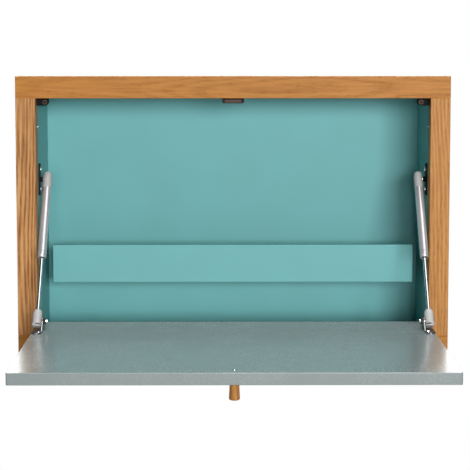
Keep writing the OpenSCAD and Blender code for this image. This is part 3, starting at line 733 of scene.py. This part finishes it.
# Nuts on the ball studs: hexagons, chamfered on the side away from the tab
STUD_R = 3.05 * MM
bm = bmesh.new()
for lo, hi in solids("lid_stud_nuts"):
    side = 1 if lo.x > 0 else -1
    flat_r = min(hi.y - lo.y, hi.z - lo.z) / 2
    centre = (lo + hi) / 2
    seat = Vector((hi.x if side > 0 else lo.x, centre.y, centre.z))
    run = hi.x - lo.x
    corner_r = flat_r / math.cos(math.radians(30))
    hexagon = plate(arc(0, 0, corner_r, 0, 300, 5), run, 0)
    chamfer = lathe([(0, 0), (corner_r, 0), (corner_r, run - MM), (flat_r * 0.93, run), (0, run)], 48)
    nut = combine(hexagon, chamfer, "INTERSECT")
    bore = lathe([(0, -MM), (STUD_R, -MM), (STUD_R, run + MM), (0, run + MM)], 32)
    join(bm, moved(combine(nut, bore), facing((-side, 0, 0), seat, side=(0, 0, 1))))
piece("lid_stud_hexes", bm, LID, dark_zinc_and_shade, "plated_steel", "lid_stud_nuts", sharp=30)
keep(bright_steel, "lid_ball_studs", edge=0.25 * MM)

# ---------------------------------------------------------------- gas struts


def span_along(node, origin, axis):
    """How far a node reaches along an axis from a point."""
    reach = [(v.co - origin).dot(axis) for v in frame["nodes"][node].data.vertices]
    return min(reach), max(reach)


CAP_R, BALL_R = 8 * MM, 5 * MM
CLIP_Z, CLIP_WIRE = -6.6 * MM, 0.6 * MM


def with_socket(bm, mouth):
    """Takes the ball and its way in out of a cap; mouth is the side it goes in, 1 for outboard."""
    play = BALL_R + 0.1 * MM
    socket = lathe([(0, -play)] + arc(0, 0, play, -80, 80, 12) + [(0, play)], 32)
    bm = combine(bm, socket)
    outside = CAP_R + 0.2 * MM
    flare = [(0, 0), (4.4 * MM, 0), (4.4 * MM, CAP_R - 1.6 * MM), (5.0 * MM, outside), (0, outside)]
    return combine(bm, moved(lathe(flare, 40), Matrix.Rotation(math.radians(90 * mouth), 4, "Y")))


def barrel_cap(tail, reach):
    """Upper cap, a barrel with a small nub; +Z runs into the strut from the ball, +X points outboard."""
    nub = tail - MM
    profile = [(0, -tail), (1.5 * MM, -tail), (2.0 * MM, 0.5 * MM - tail), (2.1 * MM, -nub)]
    profile += arc(5.5 * MM, 1.3 * MM - nub, 1.3 * MM, -90, -12, 5)
    profile += [(7.4 * MM, 4.0 * MM - nub), (7.8 * MM, -4.5 * MM), (CAP_R, -1.5 * MM)]
    profile += [(CAP_R, 2.5 * MM), (7.85 * MM, 7 * MM)]
    profile += arc(6.7 * MM, reach - MM, MM, 10, 90, 5) + [(0, reach)]
    return with_socket(lathe(profile, 56), 1)


def bullet_cap(tail, reach, front):
    """Lower cap, pointed towards the rod; front is the local Y side that faces out of the case.
    A groove takes the wire clip, and a boss beside it has a hole for the clip's end."""
    profile = [(0, -tail)] + arc(CAP_R - 2 * MM, 2 * MM - tail, 2 * MM, -90, 0, 6)
    profile += [(CAP_R, 0.58 * reach), (7.75 * MM, 0.70 * reach), (7.1 * MM, 0.82 * reach)]
    profile += [(6.1 * MM, 0.92 * reach)] + arc(4.3 * MM, reach - MM, MM, 35, 90, 4) + [(0, reach)]
    bm = lathe(profile, 56)
    boss = [(0, 0), (2.4 * MM, 0), (2.4 * MM, 6.9 * MM), (2.0 * MM, 7.3 * MM), (0, 7.3 * MM)]
    at_boss = facing((0, front, 0), Vector((5.5 * MM, 0, CLIP_Z)))
    bm = combine(bm, moved(lathe(boss, 32), at_boss), "UNION")
    bm = with_socket(bm, -1)
    outside = CAP_R + MM
    near, far = sorted((front * (CAP_R - 3.4 * MM), front * outside))
    groove_lo = Vector((-outside, near, CLIP_Z - 1.4 * MM))
    groove_hi = Vector((2.2 * MM, far, CLIP_Z + 1.4 * MM))
    bm = combine(bm, box_mesh(groove_lo, groove_hi, 0.2 * MM))
    hole = [(0, 3.5 * MM), (1.05 * MM, 3.5 * MM), (1.05 * MM, 8 * MM), (0, 8 * MM)]
    return combine(bm, moved(lathe(hole, 24), at_boss))


def clip_mesh(front):
    """Spring wire that lies in the lower cap's groove."""
    corners = ((-6.9, -2.0), (-6.9, 0.5), (-6.9, 2.6), (-6.2, 4.6), (-4.8, 5.8))
    corners += ((-2.6, 6.2), (-0.4, 6.2), (1.7, 6.2))
    bend = [Vector((x * MM, front * y * MM, CLIP_Z)) for x, y in corners]
    section = arc(0, 0, CLIP_WIRE, 0, 330, 11)
    bm, rings = bmesh.new(), []
    for k, p in enumerate(bend):
        ahead = (bend[min(k + 1, len(bend) - 1)] - bend[max(k - 1, 0)]).normalized()
        turned = facing(ahead, p, side=(0, 0, 1))
        rings.append([bm.verts.new(turned @ Vector((x, y, 0))) for x, y in section])
    for a, b in zip(rings, rings[1:]):
        for q in range(len(section)):
            j = (q + 1) % len(section)
            bm.faces.new([a[q], a[j], b[j], b[q]])
    bm.faces.new(rings[0])
    bm.faces.new(rings[-1])
    return bm


ROD_R, TUBE_R, TUBE_WALL, LIP_R, STEM_R = 3 * MM, 7.5 * MM, MM, 5 * MM, 3 * MM
for name, side in SIDES:
    ball = Vector(JOINTS[f"strut_{name}_swing"]["pos_m"])
    axis = -Vector(JOINTS[f"strut_{name}_slide"]["axis"]).normalized()
    strut = facing(axis, ball, side=(side, 0, 0))
    rod_body, tube_body = f"rod_{name}_body", f"tube_{name}_body"
    length = span_along(f"tube_ball_{name}", ball, axis)[1] - BALL_R
    rod_from, rod_to = span_along(f"rod_{name}", ball, axis)
    tube_from, stem_end = span_along(f"tube_{name}", ball, axis)
    rod_cap_from, rod_cap_to = span_along(f"rod_cap_{name}", ball, axis)
    tube_cap_from, tube_cap_to = span_along(f"tube_cap_{name}", ball, axis)

    edge = 0.4 * MM
    rod = [(0, rod_from), (ROD_R - edge, rod_from), (ROD_R, rod_from + edge)]
    rod += [(ROD_R, rod_to - edge), (ROD_R - edge, rod_to), (0, rod_to)]
    piece(f"rod_shaft_{name}", moved(lathe(rod, 48), strut), rod_body, chrome, "chrome_rod", f"rod_{name}")
    keep(black_moulded, f"rod_piston_{name}", f"tube_guide_{name}")
    keep(bright_steel, f"tube_ball_{name}")

    # Tube: a rolled rim at its open end, and two shallow ring grooves behind it
    neck, groove, tube_to = tube_from + 3.2 * MM, tube_from + 12 * MM, tube_cap_from
    inner_to, inner_from = tube_to - 2 * MM, tube_from + 2 * MM
    tube = [(LIP_R, tube_from + 1.2 * MM), (LIP_R + 0.4 * MM, tube_from + 0.3 * MM)]
    tube += [(TUBE_R - 1.6 * MM, tube_from)]
    tube += arc(TUBE_R - 1.1 * MM, tube_from + 1.1 * MM, 1.1 * MM, -90, 0, 6)
    tube += [(TUBE_R, neck), (TUBE_R - 0.45 * MM, neck + 0.7 * MM)]
    tube += [(TUBE_R - 0.45 * MM, neck + 1.4 * MM), (TUBE_R, neck + 2.1 * MM)]
    tube += [(TUBE_R, groove - 0.8 * MM), (TUBE_R - 0.5 * MM, groove - 0.2 * MM)]
    tube += [(TUBE_R - 0.5 * MM, groove + 0.2 * MM), (TUBE_R, groove + 0.8 * MM)]
    tube += [(TUBE_R, tube_to - 0.5 * MM), (TUBE_R - 0.5 * MM, tube_to)]
    tube += [(STEM_R, tube_to), (STEM_R, stem_end), (0, stem_end), (0, inner_to)]
    tube += [(TUBE_R - TUBE_WALL, inner_to), (TUBE_R - TUBE_WALL, inner_from), (LIP_R, inner_from)]
    piece(f"tube_barrel_{name}", moved(lathe(tube, 56, closed=True), strut),
          tube_body, tube_lacquer, "tube_paint", f"tube_{name}")

    # Seal that shows inside the rim
    seal_r, seal_out = ROD_R + 0.06 * MM, LIP_R - 0.02 * MM
    seal = [(seal_r, tube_from + 1.9 * MM), (seal_r, tube_from + 0.7 * MM)]
    seal += [(ROD_R + 0.7 * MM, tube_from + 0.45 * MM)]
    seal += [(seal_out, tube_from + 1.0 * MM), (seal_out, tube_from + 1.9 * MM)]
    piece(f"tube_seal_{name}", moved(lathe(seal, 48, closed=True), strut),
          tube_body, black_moulded, "black_plastic")

    # End caps; the case opens towards -Y, which is the local Y side of -side
    cap = bullet_cap(-rod_cap_from, rod_cap_to, -side)
    piece(f"rod_end_cap_{name}", moved(cap, strut), rod_body, cap_grey, "cap_plastic",
          f"rod_cap_{name}", sharp=50)
    # The clip is a real part; its near-black colour is painted shade for the groove it lies in.
    piece(f"rod_clip_{name}", moved(clip_mesh(-side), strut), rod_body, dark_zinc_and_shade, "plated_steel", sharp=60)
    turned = strut @ Matrix.Translation((0, 0, length)) @ Matrix.Rotation(math.pi, 4, "X")
    cap = barrel_cap(tube_cap_to - length, length - tube_cap_from)
    piece(f"tube_end_cap_{name}", moved(cap, turned), tube_body, cap_grey, "cap_plastic",
          f"tube_cap_{name}", sharp=50)
